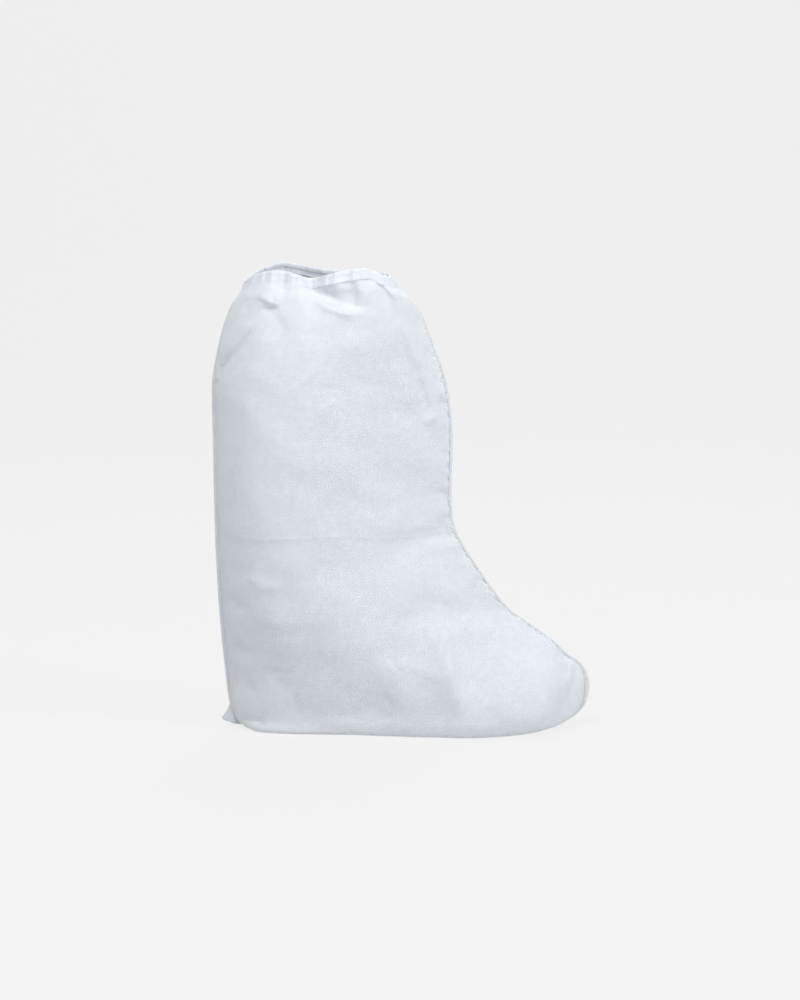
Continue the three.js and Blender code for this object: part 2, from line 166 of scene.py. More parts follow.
# %% Outline of the sole and dips of the rim
SOLE_OUTLINE = table(
    "turn half",
    (0.0, 0.0), (0.07, 0.3), (0.13, 0.47), (0.21, 0.59), (0.29, 0.67), (0.38, 0.74), (0.48, 0.85),
    (0.57, 0.96), (0.64, 1.0), (0.71, 0.94), (0.79, 0.77), (0.87, 0.52), (0.94, 0.26), (1.0, 0.0),
)
RIM_DIPS = table(
    "turn right left",
    (0.0, 1.0, 1.0), (0.1, 0.64, 0.68), (0.24, 0.22, 0.26), (0.33, 0.12, 0.03), (0.42, 0.3, 0.18),
    (0.47, 0.46, 0.29), (0.53, 0.28, 0.38), (0.61, 0.1, 0.5), (0.7, 0.0, 0.5), (0.78, 0.3, 0.5),
    (0.88, 0.5, 0.6), (1.0, 0.86, 0.86),
)
print("deepest dip of the rim:", round(RIM_ARCH / MM), "mm")


# %% One table of levels in metres
def cover_levels():
    foot, shaft = FOOT_LEVELS, SHAFT_LEVELS
    mouth = shaft["mouth"]
    blank = np.zeros_like(mouth)
    back = -shaft["back"] * HEEL_REACH * (1 - mouth) + (MOUTH_SHIFT - MOUTH_LENGTH / 2) * mouth
    front = shaft["front"] * SHIN_REACH * (1 - mouth) + (MOUTH_SHIFT + MOUTH_LENGTH / 2) * mouth
    half = (shaft["width"] * CALF_WIDTH * (1 - mouth) + MOUTH_WIDTH * mouth) / 2
    parts = {
        "height": (foot["rise"] * ANKLE_HEIGHT, ANKLE_HEIGHT + shaft["rise"] * SHAFT_HEIGHT),
        "back": (-foot["back"] * HEEL_REACH, back),
        "front": (SHIN_REACH + foot["front"] * (TOE_REACH - SHIN_REACH), front),
        "half": (foot["width"] * FOOT_WIDTH / 2, half),
        "front_power": (foot["front_power"], shaft["front_power"]),
        "print": (foot["print"], blank),
        "tab": (foot["tab"], blank),
        "lip": (foot["lip"], blank),
    }
    return {name: np.concatenate(values) for name, values in parts.items()}


LEVELS = cover_levels()


def level_at(height):
    level = {name: smooth_value(LEVELS, name, height) for name in LEVELS if name != "height"}
    for name in ("print", "tab", "lip"):
        level[name] = np.clip(level[name], 0, 1)
    return level


print("levels:", len(LEVELS["height"]))


# %% [markdown]
# ## The filled form
# Each row of cloth is drawn from the back seam to the front seam by a number called turn, from 0 to 1.
# The row is round at the back, where the calf is, and drawn out to a thin edge at the front of the shaft.
# At the floor it changes into the outline of a sole, wide at the ball of the foot and narrow at the heel.

# %% Form of one row
BACK_POWER = 0.5
DIP_START = 0.48


def along_row(turn):
    return (1 - np.cos(np.pi * turn)) / 2


def half_width(level, turn):
    along = along_row(turn)
    widest = BACK_POWER / (BACK_POWER + level["front_power"])
    filled = (along / widest) ** BACK_POWER * ((1 - along) / (1 - widest)) ** level["front_power"]
    outline = np.maximum(smooth_value(SOLE_OUTLINE, "half", turn), 0)
    return level["half"] * (filled + (outline - filled) * level["print"])


def hem_share(height):
    """0 in the lower shaft and 1 at the hem, where the elastic has drawn the cloth together."""
    return smoothstep((height - ANKLE_HEIGHT) / SHAFT_HEIGHT, DIP_START, 1)


def rim_dip(side, turn, height):
    dip = smooth_value(RIM_DIPS, "right" if side == RIGHT else "left", turn)
    return RIM_ARCH * dip * hem_share(height)


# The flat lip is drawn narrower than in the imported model, because the toe fills most of it out.
LIP_SHARE = 0.2


def row_ends(level):
    """Where the body of the cover starts at the back and ends at the front, seams left out."""
    return level["back"], level["front"] - LIP_SHARE * TOE_LIP * level["lip"]


middle_of_shaft = level_at(np.array([0.33]))
widest = 2 * half_width(middle_of_shaft, np.linspace(0, 1, 99)).max()
print("widest at 330 mm:", round(float(widest) / MM, 1), "mm")

# %% [markdown]
# ## Folds
# A fold in thin cloth is rarely the same on both sides of its line: one side drops away sharply and the
# other runs out softly. So each fold is a line of a few places with a depth, a width on its left, a width
# on its right, and a number for how creased the line is. Places are shares of the row, from the back to the
# front, and of the whole height. Depths and widths are in millimetres, and a negative depth is a dent.

# %% Folds of both panels
FOLD_COLUMNS = "side depth left right crease fade_in fade_out places"
FOLD_ROWS = (
    # Pleat and pocket under the hem at the calf
    (RIGHT, -4.0, 4, 5, 1.4, 0, 0.5, ((0.298, 1.0), (0.288, 0.986), (0.278, 0.965), (0.274, 0.94))),
    (RIGHT, 4.5, 8, 3.0, 1.2, 0.15, 0.2,
     ((0.14, 0.962), (0.18, 0.946), (0.228, 0.935), (0.262, 0.933), (0.276, 0.96), (0.284, 0.99))),
    (RIGHT, -4.0, 9, 7, 1.8, 0, 0.3, ((0.228, 1.0), (0.226, 0.98), (0.224, 0.962))),
    # Long fold that runs down from the hem, with the pocket above it
    (RIGHT, -8.5, 22, 5.5, 1.1, 0, 0.4,
     ((0.39, 0.99), (0.465, 0.97), (0.53, 0.951), (0.6, 0.933), (0.66, 0.924), (0.75, 0.92))),
    (RIGHT, 3.6, 7, 3.5, 1.2, 0.3, 0.3,
     ((0.4, 0.972), (0.46, 0.952), (0.52, 0.933), (0.58, 0.917), (0.64, 0.907), (0.72, 0.906))),
    (RIGHT, 6.0, 8, 8, 2, 0, 0, ((0.56, 0.981), (0.585, 0.979))),
    (RIGHT, -2.4, 4, 5, 1.4, 0.3, 0.3, ((0.504, 0.977), (0.55, 0.962), (0.591, 0.963))),
    (RIGHT, 2.4, 10, 14, 1.8, 0, 0.4, ((0.7, 1.0), (0.715, 0.97), (0.74, 0.945), (0.76, 0.92))),
    # Crease from the pleat to the back seam
    (RIGHT, -4.6, 1.6, 8, 1.1, 0.3, 0.2,
     ((0.2, 0.897), (0.162, 0.877), (0.103, 0.84), (0.044, 0.796), (0.025, 0.76), (0.008, 0.72))),
    (RIGHT, 2.4, 9, 9, 2, 0.3, 0.3, ((0.16, 0.905), (0.12, 0.88), (0.07, 0.85), (0.04, 0.82))),
    (RIGHT, -1.8, 4, 4, 1.5, 0.4, 0.4, ((0.105, 0.958), (0.1, 0.94), (0.098, 0.915))),
    (RIGHT, -2.2, 8, 12, 1.6, 0.1, 0.4, ((0.2, 0.93), (0.26, 0.905), (0.34, 0.87))),
    # Where the cloth leaves the calf and runs out to the front seam
    (RIGHT, 2.6, 12, 34, 1.8, 0.25, 0.2,
     ((0.26, 0.9), (0.36, 0.86), (0.43, 0.8), (0.49, 0.72), (0.56, 0.62), (0.585, 0.5),
      (0.64, 0.42), (0.69, 0.37))),
    (RIGHT, -2.2, 26, 18, 2, 0.3, 0.3, ((0.5, 0.85), (0.6, 0.72), (0.66, 0.6), (0.7, 0.47))),
    # Creases near the front seam
    (RIGHT, 2.8, 7, 5, 1.4, 0.3, 0.3, ((0.862, 0.91), (0.883, 0.854), (0.895, 0.8), (0.9, 0.77))),
    (RIGHT, -2.4, 3, 6, 1.2, 0.3, 0.3, ((0.896, 0.77), (0.904, 0.73), (0.912, 0.695), (0.93, 0.682))),
    (RIGHT, 1.6, 5, 3, 1.3, 0.3, 0.3, ((0.87, 0.667), (0.91, 0.668), (0.955, 0.675))),
    (RIGHT, 2.6, 8, 8, 1.6, 0, 0.5, ((0.93, 0.99), (0.905, 0.96), (0.895, 0.935))),
    # Instep and heel
    (RIGHT, 5.6, 5, 18, 1.4, 0.4, 0.45,
     ((0.8, 0.3), (0.775, 0.26), (0.675, 0.18), (0.637, 0.1), (0.653, 0.045))),
    (RIGHT, 3.0, 8, 34, 1.8, 0.5, 0.45, ((0.78, 0.25), (0.685, 0.18), (0.649, 0.1), (0.664, 0.045))),
    (RIGHT, -5.0, 34, 12, 1.8, 0.5, 0.45, ((0.83, 0.24), (0.735, 0.17), (0.7, 0.095), (0.71, 0.04))),
    (RIGHT, -2.0, 3, 6, 1.2, 0.2, 0.3, ((0.012, 0.031), (0.044, 0.031), (0.066, 0.028), (0.1, 0.03))),
    (RIGHT, 2.0, 10, 8, 1.6, 0.3, 0.3, ((0.1, 0.36), (0.17, 0.33), (0.27, 0.33))),
    (RIGHT, -1.6, 5, 12, 1.4, 0.3, 0.3, ((0.02, 0.3), (0.07, 0.28), (0.13, 0.285))),
    (RIGHT, -1.6, 5, 12, 1.4, 0.3, 0.3, ((0.02, 0.2), (0.06, 0.185), (0.12, 0.19))),
    # The other panel, seen from behind
    (LEFT, -5.0, 5, 12, 1.2, 0, 0.6, ((0.72, 1.0), (0.74, 0.965), (0.79, 0.92), (0.84, 0.88))),
    (LEFT, 4.5, 12, 8, 1.8, 0, 0.4, ((0.34, 1.0), (0.37, 0.96), (0.41, 0.905))),
    (LEFT, -6.5, 7, 22, 1.15, 0, 0.5,
     ((0.56, 0.99), (0.52, 0.965), (0.45, 0.94), (0.36, 0.92), (0.27, 0.91))),
    (LEFT, 3.5, 10, 10, 1.8, 0, 0.5, ((0.66, 1.0), (0.66, 0.95), (0.64, 0.88))),
    (LEFT, 2.6, 12, 34, 1.8, 0.3, 0.2,
     ((0.34, 0.86), (0.44, 0.77), (0.5, 0.7), (0.56, 0.55), (0.6, 0.42), (0.64, 0.3))),
    (LEFT, -2.4, 4, 10, 1.2, 0.3, 0.3, ((0.88, 0.86), (0.83, 0.8), (0.77, 0.75))),
    (LEFT, 3.0, 14, 18, 2, 0.3, 0.3, ((0.12, 0.31), (0.22, 0.21), (0.3, 0.12))),
    (LEFT, -2.4, 4, 8, 1.2, 0.3, 0.3, ((0.06, 0.66), (0.14, 0.61), (0.22, 0.6))),
    (LEFT, 5.0, 6, 30, 1.5, 0.3, 0.15, ((0.72, 0.25), (0.64, 0.16), (0.61, 0.05))),
    (LEFT, -4.0, 18, 7, 1.4, 0.3, 0.25, ((0.76, 0.23), (0.68, 0.14), (0.65, 0.04))),
)
FOLDS = [dict(zip(FOLD_COLUMNS.split(), row)) for row in FOLD_ROWS]
print("folds:", len(FOLDS))


# %% Distance from a fold's line
SOFT_SIDE = 1.6


def fold_line(places):
    """Places of a fold as points of the side view, x to the toe and height, in metres."""
    across, rise = np.array(places, float).T
    height = rise * TOTAL_HEIGHT
    back, front = row_ends(level_at(height))
    return np.stack([back + (front - back) * across, height], axis=-1)


def from_line(x, height, line):
    """Distance to a line of points, on which side, and how far along it, from 0 to 1."""
    lengths = np.linalg.norm(np.diff(line, axis=0), axis=1)
    starts = np.concatenate([[0], np.cumsum(lengths)])
    nearest = np.full(np.broadcast(x, height).shape, np.inf)
    left = np.zeros_like(nearest)
    along = np.zeros_like(nearest)
    for index, (start, end) in enumerate(zip(line[:-1], line[1:])):
        run = end - start
        share = np.clip(((x - start[0]) * run[0] + (height - start[1]) * run[1]) / (run @ run), 0, 1)
        dx = x - start[0] - share * run[0]
        dz = height - start[1] - share * run[1]
        distance = np.hypot(dx, dz)
        closer = distance < nearest
        nearest = np.where(closer, distance, nearest)
        left = np.where(closer, run[0] * dz - run[1] * dx, left)
        along = np.where(closer, (starts[index] + share * lengths[index]) / starts[-1], along)
    return nearest, left > 0, along


def fold_height(side, x, height):
    """How far the folds of one panel lift the cloth, in metres."""
    lift = np.zeros(np.broadcast(x, height).shape)
    for fold in FOLDS:
        if fold["side"] != side:
            continue
        distance, left, along = from_line(x, height, fold_line(fold["places"]))
        width = np.where(left, fold["left"], fold["right"]) * MM
        fade = np.ones_like(along)
        if fold["fade_in"]:
            fade = fade * smoothstep(along, 0, fold["fade_in"])
        if fold["fade_out"]:
            fade = fade * smoothstep(1 - along, 0, fold["fade_out"])
        # A crease is sharp on its steep side and always soft on the other.
        steep = width < max(fold["left"], fold["right"]) * MM
        power = np.where(steep, fold["crease"], max(fold["crease"], SOFT_SIDE))
        lift += fade * fold["depth"] * MM * np.exp(-((distance / width) ** power))
    return lift


first_fold = fold_line(FOLDS[0]["places"])
print("first fold ends at a height of", round(float(first_fold[-1, 1]) / MM), "mm")


# %% [markdown]
# ## Gathers, waves and the packing crease
# The elastic draws the cloth of the mouth into gathers. They are waves round the mouth: a few wide ones,
# and many fine ones that die out a few centimetres below the hem. Cloth that has been folded flat in its
# bag also keeps a faint straight crease across the shaft, and nothing made of cloth is ever quite flat,
# so a sum of slow waves in set directions moves it by a fraction of a millimetre.

# %% Gathers and slow waves
GATHERS = table("count phase depth reach", (8, 0.35, 1.2, 42), (5, 0.1, 0.8, 42), (15, 0.6, 0.5, 26))
PLEAT_DEPTH = 0.45 * MM
PLEAT_REACH = 9 * MM
CREASE_HEIGHT = 0.435 * TOTAL_HEIGHT
CREASE_LIFT = 0.5 * MM
CREASE_REACH = 9 * MM
WAVE_COUNT = 26
WAVE_DEPTH = 0.16 * MM
LONGEST_WAVE = 75
SHORTEST_WAVE = 22
SEAM_FADE = 0.14
HEM_FADE = 0.4
HEM_FADE_START = 0.97 * PANEL_TOP


def round_mouth(side, turn):
    """How far round the mouth a place is, from the back seam over the right panel and back over the left."""
    return turn / 2 if side == RIGHT else 1 - turn / 2


def pleat_wave(round_share, climb=0):
    """Fine pleats, from about -1 to 1. climb: height in the hem's band, from 0 to 1, as the pleats lean."""
    turn = 2 * np.pi * round_share
    lean = 0.9 * np.sin(5 * turn) * climb
    fine = np.cos(47 * turn + 2.2 * np.sin(3 * turn) + lean) * (0.5 + 0.5 * np.sin(7 * turn + 1.3))
    finer = np.cos(83 * turn + 1.9 * np.sin(4 * turn) + 1.7 * lean) * (0.5 + 0.5 * np.sin(5 * turn + 0.4))
    return 0.62 * fine + 0.38 * finer


def gather_height(side, turn, height):
    lift = np.zeros(np.broadcast(turn, height).shape)
    drop = PANEL_TOP - height
    for count, phase, depth, reach in zip(*GATHERS.values()):
        wave = np.cos(2 * np.pi * (count * turn + side * phase))
        lift += depth * MM * wave * np.exp(-((drop / (reach * MM)) ** 2))
    return lift + PLEAT_DEPTH * pleat_wave(round_mouth(side, turn)) * np.exp(-drop / PLEAT_REACH)


def slow_waves(side, x, height):
    draw = np.random.default_rng(11 + side)
    lift = np.zeros(np.broadcast(x, height).shape)
    for _ in range(WAVE_COUNT):
        length = draw.uniform(SHORTEST_WAVE, LONGEST_WAVE) * MM
        heading = draw.uniform(0, np.pi)
        phase = draw.uniform(0, 2 * np.pi)
        place = x * np.cos(heading) + height * np.sin(heading)
        share = (length / (LONGEST_WAVE * MM)) ** 0.5
        lift += WAVE_DEPTH * share * np.sin(2 * np.pi * place / length + phase)
    return lift


# %% All the relief of one panel
def packing_crease(height):
    return CREASE_LIFT * np.exp(-np.abs(height - CREASE_HEIGHT) / CREASE_REACH)


def relief(side, turn, x, height):
    """All that lifts the cloth off its smooth form. It fades out at both seams."""
    fade = smoothstep(turn, 0, SEAM_FADE) * smoothstep(1 - turn, 0, SEAM_FADE)
    folds = fold_height(side, x, height) * (1 - HEM_FADE * smoothstep(height, HEM_FADE_START, PANEL_TOP))
    gathers = gather_height(side, turn, height) * np.sin(np.pi * turn) ** 0.5
    return fade * (folds + slow_waves(side, x, height) + packing_crease(height)) + gathers


relief_test = relief(RIGHT, np.linspace(0.1, 0.9, 40), 0.05, np.full(40, 0.44))
print("relief near the hem:", np.round([relief_test.min() / MM, relief_test.max() / MM], 1), "mm")

# %% [markdown]
# ## One panel as a grid of cloth
# The real panel is cut flat and sewn to its twin. Here it is a grid: columns run along a row of cloth from
# the back seam to the front seam, and rows climb from the middle of the sole to the hem. A strip on each
# edge is the seam allowance, which widens into a flat ear behind the heel and a flat lip round the toe.
# Round the heel the allowance of the sole's seam lies on the floor, as a low skirt that catches the light.
# A grid makes it simple to move the cloth by formulas and to lay the pattern of the cloth on it.

# %% Rows and columns of the grid
BODY_COLUMNS = 160
FLAP_COLUMNS = 4
SOLE_ROWS = 8
EVEN_TURNS = np.linspace(0, 1, BODY_COLUMNS + 1)
CROWDING = 0.045
TURNS = EVEN_TURNS + CROWDING * np.sin(2 * np.pi * EVEN_TURNS)


def wall_heights():
    """Closer rows where the cloth is gathered."""
    foot = np.linspace(0, 0.2, 63)[:-1]
    shaft = np.linspace(0.2, 0.33, 41)[:-1]
    gathered = np.linspace(0.33, PANEL_TOP, 103)
    return np.concatenate([foot, shaft, gathered])


HEIGHTS = wall_heights()
print("grid:", len(HEIGHTS) + SOLE_ROWS, "rows of", BODY_COLUMNS + 1 + 2 * FLAP_COLUMNS)


# %% Body of one panel
CLOTH = 0.4 * MM
SKIN = 0.6 * MM
SKIN_FADE = 0.05
FLAP_GAP = 0.35 * MM
TOE_TAPER = 44 * MM
TOE_FLATTENING = 0.9
HEEL_SKIRT = 5 * MM
SKIRT_HEIGHT = 11 * MM


def body_lines(side, turns, heights):
    """Middle of the cloth as arrays of x, y and z, a row for each height. y is measured from the seam."""
    turn = turns[None, :]
    height = heights[:, None]
    level = level_at(height)
    back, front = row_ends(level)
    x = back + (front - back) * along_row(turn)
    y = np.maximum(half_width(level, turn) + relief(side, turn, x, height), 0)
    # Round the toe the cloth runs out smoothly into the flat lip.
    thin = level["lip"] * (1 - smoothstep(front - x, -0.2 * TOE_TAPER, TOE_TAPER))
    y = y * (1 - TOE_FLATTENING * thin) + FLAP_GAP
    # The low skirt starts beside the back seam and runs out at the arch of the foot.
    skirt = smoothstep(turn, 0.02, 0.1) * (1 - smoothstep(turn, 0.12, 0.42))
    y = y + HEEL_SKIRT * skirt * (1 - smoothstep(height, 0, SKIRT_HEIGHT))
    z = height - rim_dip(side, turn, height)
    step_x = np.gradient(x, axis=1)
    step_y = np.gradient(y, axis=1)
    length = np.hypot(step_x, step_y)
    out = SKIN * smoothstep(turn, 0, SKIN_FADE) * smoothstep(1 - turn, 0, SKIN_FADE)
    return x - out * step_y / length, y + out * step_x / length, z + 0 * x


# %% Seam allowances of one panel
EAR_BEND = math.radians(16)
EAR_BEND_HEIGHT = 30 * MM
EAR_RISE = 0.18
EAR_RISE_START = 4 * MM
EAR_RISE_END = 20 * MM


def seam_strips(heights, x, y, z):
    """Adds the flat strips behind the back seam and before the front seam."""
    level = level_at(heights[:, None])
    allowance = SEAM_ALLOWANCE * (1 - hem_share(heights[:, None]) / 2)
    share = np.linspace(1, 0, FLAP_COLUMNS + 1)[None, :-1]
    ear = HEEL_TAB * level["tab"] + allowance
    bend = EAR_BEND * (1 - smoothstep(heights[:, None], 0, EAR_BEND_HEIGHT))
    back = share * ear
    front = share[:, ::-1] * (LIP_SHARE * TOE_LIP * level["lip"] + allowance)
    lift = EAR_RISE * back * (1 - smoothstep(heights[:, None], EAR_RISE_START, EAR_RISE_END)) * level["tab"]
    flap_x = np.hstack([x[:, :1] - back * np.cos(bend), x, x[:, -1:] + front])
    flap_y = np.hstack([np.full(back.shape, FLAP_GAP), y, np.full(front.shape, FLAP_GAP)])
    flap_z = np.hstack([z[:, :1] + lift, z, z[:, -1:] + 0 * front])
    swing = np.hstack([-back * np.sin(bend), 0 * x, 0 * front])
    return flap_x, flap_y, flap_z, swing


print("ear behind the heel:", round((HEEL_TAB + SEAM_ALLOWANCE) / MM), "mm long")


# %% Whole grid of one panel, with its pattern lengths
SOLE_LIFT = 0.25 * MM
SOLE_LIFT_HEIGHT = 10 * MM
PATTERN_START = 40 * MM


def sole_rows(x, y, z):
    """Rows from the middle of the sole out to the row where the wall starts."""
    share = np.linspace(0, 1, SOLE_ROWS + 1)[:-1, None]
    return x[:1] + 0 * share, FLAP_GAP + (y[:1] - FLAP_GAP) * share, z[:1] + 0 * share


def panel_grid(side):
    x, y, z = body_lines(side, TURNS, HEIGHTS)
    x, y, z, swing = seam_strips(HEIGHTS, x, y, z)
    under = sole_rows(x, y, z)
    swing = np.vstack([np.linspace(0, 1, SOLE_ROWS + 1)[:-1, None] * swing[:1], swing])
    x, y, z = (np.vstack([below, above]) for below, above in zip(under, (x, y, z)))
    lift = SOLE_LIFT * (1 - smoothstep(z, 0, SOLE_LIFT_HEIGHT))
    places = np.stack([x, side * y + swing, z + FLOOR + lift], axis=-1)
    return places, pattern_lengths(places)


def pattern_lengths(places):
    """Lengths along the cloth in millimetres: along each row from one x, and up from the floor."""
    x, y, z = np.moveaxis(places, -1, 0)
    steps_along = np.hypot(np.diff(x, axis=1), np.diff(y, axis=1))
    along = np.hstack([np.zeros((len(x), 1)), np.cumsum(steps_along, axis=1)])
    along -= np.array([np.interp(PATTERN_START, row_x, row) for row_x, row in zip(x, along)])[:, None]
    steps_up = np.hypot(np.diff(z, axis=0), np.diff(y, axis=0))
    up = np.vstack([np.zeros((1, x.shape[1])), np.cumsum(steps_up, axis=0)])
    up -= up[SOLE_ROWS]
    return np.stack([along, up], axis=-1) / MM


right_places, right_pattern = panel_grid(RIGHT)
print("grid of the right panel:", right_places.shape[:2])
print("lowest and highest z:", np.round([right_places[..., 2].min(), right_places[..., 2].max()], 4))

# %% [markdown]
# ## From arrays to Blender meshes
# Blender takes a mesh as a list of points and a list of faces. For a grid both follow from the array's
# shape, and the pattern lengths become the UV map, in which one unit is one millimetre of real cloth.

# %% Mesh helpers
def grid_faces(rows, columns, outward, ring=False):
    last = columns if ring else columns - 1
    row, column = np.meshgrid(np.arange(rows - 1), np.arange(last), indexing="ij")
    ahead = (column + 1) % columns
    here = row * columns
    above = here + columns
    corners = [here + column, here + ahead, above + ahead, above + column]
    if not outward:
        corners.reverse()
    return np.stack(corners, axis=-1).reshape(-1, 4)


def new_object(name, points, faces, pattern=None):
    mesh = bpy.data.meshes.new(name)
    mesh.from_pydata(points.reshape(-1, 3).tolist(), [], faces.tolist())
    if pattern is not None:
        layer = mesh.uv_layers.new(name="cloth_mm")
        corner_points = np.zeros(len(mesh.loops), int)
        mesh.loops.foreach_get("vertex_index", corner_points)
        layer.data.foreach_set("uv", pattern.reshape(-1, 2)[corner_points].ravel())
    mesh.shade_smooth()
    mesh.update()
    made = bpy.data.objects.new(name, mesh)
    bpy.context.scene.collection.objects.link(made)
    return made


def add_modifier(piece, kind, **settings):
    modifier = piece.modifiers.new(kind.lower(), kind)
    for setting, value in settings.items():
        setattr(modifier, setting, value)
    return modifier


print("faces of a ring of 2 by 3 points:", len(grid_faces(2, 3, outward=True, ring=True)))


# %% The two panels
def make_panel(name, side):
    places, pattern = panel_grid(side)
    faces = grid_faces(*places.shape[:2], outward=side == RIGHT)
    return new_object(name, places, faces, pattern), places


right_cloth, right_places = make_panel("right_cloth", RIGHT)
left_cloth, left_places = make_panel("left_cloth", LEFT)
print("faces of each panel:", len(right_cloth.data.polygons))

# %% [markdown]
# ## Letting the cloth settle
# Sewn cloth puckers beside its seams and under its elastic, because it is longer there than the thread.
# Blender's Cloth does this well: the seams, the floor's edge and the rim are held, the cloth between them is
# made two percent longer, and a slight pressure from inside keeps it full. Gravity is off, because a leg
# would hold the cloth up. A coarser grid, every second row and column, is enough and quick. Its movement,
# capped so that the cover keeps its measured form, is then laid over the fine grid, which takes the place of
# a subdivision and keeps the creases crisp.

# %% Cloth that is held at its edges
SETTLE_FRAMES = 14
SETTLE_GROWTH = 0.02


def coarse_cloth(side, points):
    """A mesh for the simulation, with its edges in the group that is held."""
    rows, columns = points.shape[:2]
    piece = new_object("settling", points, grid_faces(rows, columns, outward=side == RIGHT))
    held = np.zeros((rows, columns))
    held[:2] = 1
    held[-1:] = 1
    held[:, [0, -1]] = 1
    piece.vertex_groups.new(name="held").add(np.flatnonzero(held).tolist(), 1.0, "REPLACE")
    return piece


print("the simulation runs for", SETTLE_FRAMES, "frames, unless this is a quick look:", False)


# %% Cloth simulation
def simulate(piece, points):
    """Runs the Cloth modifier and returns how far each point of the coarse grid moves."""
    cloth = add_modifier(piece, "CLOTH")
    settings = {
        "quality": 6,
        "mass": 0.3,
        "tension_stiffness": 15,
        "compression_stiffness": 15,
        "shear_stiffness": 5,
        "bending_stiffness": 0.2,
        "air_damping": 2,
        "vertex_group_mass": "held",
        "shrink_min": -SETTLE_GROWTH,
        "use_pressure": True,
        "uniform_pressure_force": 1.5,
    }
    for setting, value in settings.items():
        setattr(cloth.settings, setting, value)
    cloth.settings.effector_weights.gravity = 0
    for step in range(1, SETTLE_FRAMES + 1):
        bpy.context.scene.frame_set(step)
    settled = piece.evaluated_get(bpy.context.evaluated_depsgraph_get()).to_mesh()
    moved = np.zeros(points.size)
    settled.vertices.foreach_get("co", moved)
    bpy.context.scene.frame_set(1)
    return moved.reshape(points.shape) - points


# %% Lay the movement over the fine grid
SETTLE_LIMIT = 1.4 * MM
SETTLE_CALM = 0.6
HEM_CALM_START = 360 * MM
HEM_CALM_END = 410 * MM
SOLE_CALM_START = 10 * MM
SOLE_CALM_END = 60 * MM
NO_LENGTH = 1e-9


def refine(move, axis):
    """Doubles the grid along one axis, with the mean of its neighbours at each new place."""
    move = np.moveaxis(move, axis, 0)
    fine = np.zeros((2 * len(move) - 1, *move.shape[1:]))
    fine[::2] = move
    fine[1::2] = (move[:-1] + move[1:]) / 2
    return np.moveaxis(fine, 0, axis)


def settle(piece, places, side):
    wall = places[SOLE_ROWS:, FLAP_COLUMNS:-FLAP_COLUMNS]
    helper = coarse_cloth(side, wall[::2, ::2])
    move = simulate(helper, wall[::2, ::2])
    bpy.data.objects.remove(helper)
    length = np.linalg.norm(move, axis=-1, keepdims=True)
    move *= SETTLE_LIMIT * np.tanh(length / SETTLE_LIMIT) / np.maximum(length, NO_LENGTH)
    # Under the hem the drawn folds are the main thing, and a foot fills the sole: less movement there.
    height = wall[::2, ::2, 2:]
    near_hem = smoothstep(height, HEM_CALM_START, HEM_CALM_END)
    move *= 1 - SETTLE_CALM * (near_hem + 1 - smoothstep(height, SOLE_CALM_START, SOLE_CALM_END))
    wall += refine(refine(move, 0), 1)
    piece.data.vertices.foreach_set("co", places.ravel())
    piece.data.update()
    return np.linalg.norm(move, axis=-1)


for piece, places, side in ((right_cloth, right_places, RIGHT), (left_cloth, left_places, LEFT)):
    moves = settle(piece, places, side) / MM
    print(piece.name, "moved up to", round(moves.max(), 2), "mm, mean", round(moves.mean(), 2), "mm")

# %% Thick cloth
for piece in (right_cloth, left_cloth):
    add_modifier(piece, "SOLIDIFY", thickness=CLOTH, offset=0)
print("thickness of the cloth:", CLOTH / MM, "mm")

# %% [markdown]
# ## The hem and its elastic
# The top edge of the cloth is folded inward over a narrow elastic and sewn down. The elastic is much
# shorter than the cloth, so the folded band is drawn into fine pleats. The band follows the top row of the
# panels, pleats and all, and its section is an upside-down U. It leans inward, because the cloth below it
# does, and leans least on the left panel. Its inner leg ends above the elastic's lower edge, so the elastic
# shows as a faint warm line inside the mouth.

# %% The line of the mouth
MOUTH_STEPS = 320
HEM_LEAN = 0.45
LEFT_LEAN = 0.15


def mouth_line():
    """Closed line on the middle of the cloth at the hem's lower edge, and how far round each point is."""
    turn = np.linspace(0, 1, MOUTH_STEPS + 1)
    top = np.array([PANEL_TOP])
    right = np.concatenate(body_lines(RIGHT, turn, top)).T
    left = np.concatenate(body_lines(LEFT, turn, top)).T[::-1][1:-1]
    right[:, 1] *= RIGHT
    line = np.vstack([right, left])
    line[:, 2] += FLOOR + HEM_GAP
    share = np.concatenate([round_mouth(RIGHT, turn), round_mouth(LEFT, turn)[::-1][1:-1]])
    return line, share


def way_out(line):
    """For each point of a closed line, the level way out of the loop."""
    along = np.roll(line, -1, axis=0) - np.roll(line, 1, axis=0)
    along[:, 2] = 0
    along /= np.linalg.norm(along, axis=1, keepdims=True)
    return np.stack([along[:, 1], -along[:, 0], 0 * along[:, 0]], axis=-1)


MOUTH, MOUTH_SHARE = mouth_line()
MOUTH_OUT = way_out(MOUTH)
MOUTH_LEAN = HEM_LEAN + (HEM_LEAN - LEFT_LEAN) * np.minimum(np.sin(2 * np.pi * MOUTH_SHARE), 0)
mouth_lengths = np.linalg.norm(np.roll(MOUTH, -1, axis=0) - MOUTH, axis=1)
MOUTH_ARC = np.concatenate([[0], np.cumsum(mouth_lengths)[:-1]])
print("round the mouth:", round(mouth_lengths.sum() / MM), "mm")


# %% Ring of a section along the mouth
SCALLOP_SHIFT = 0.004


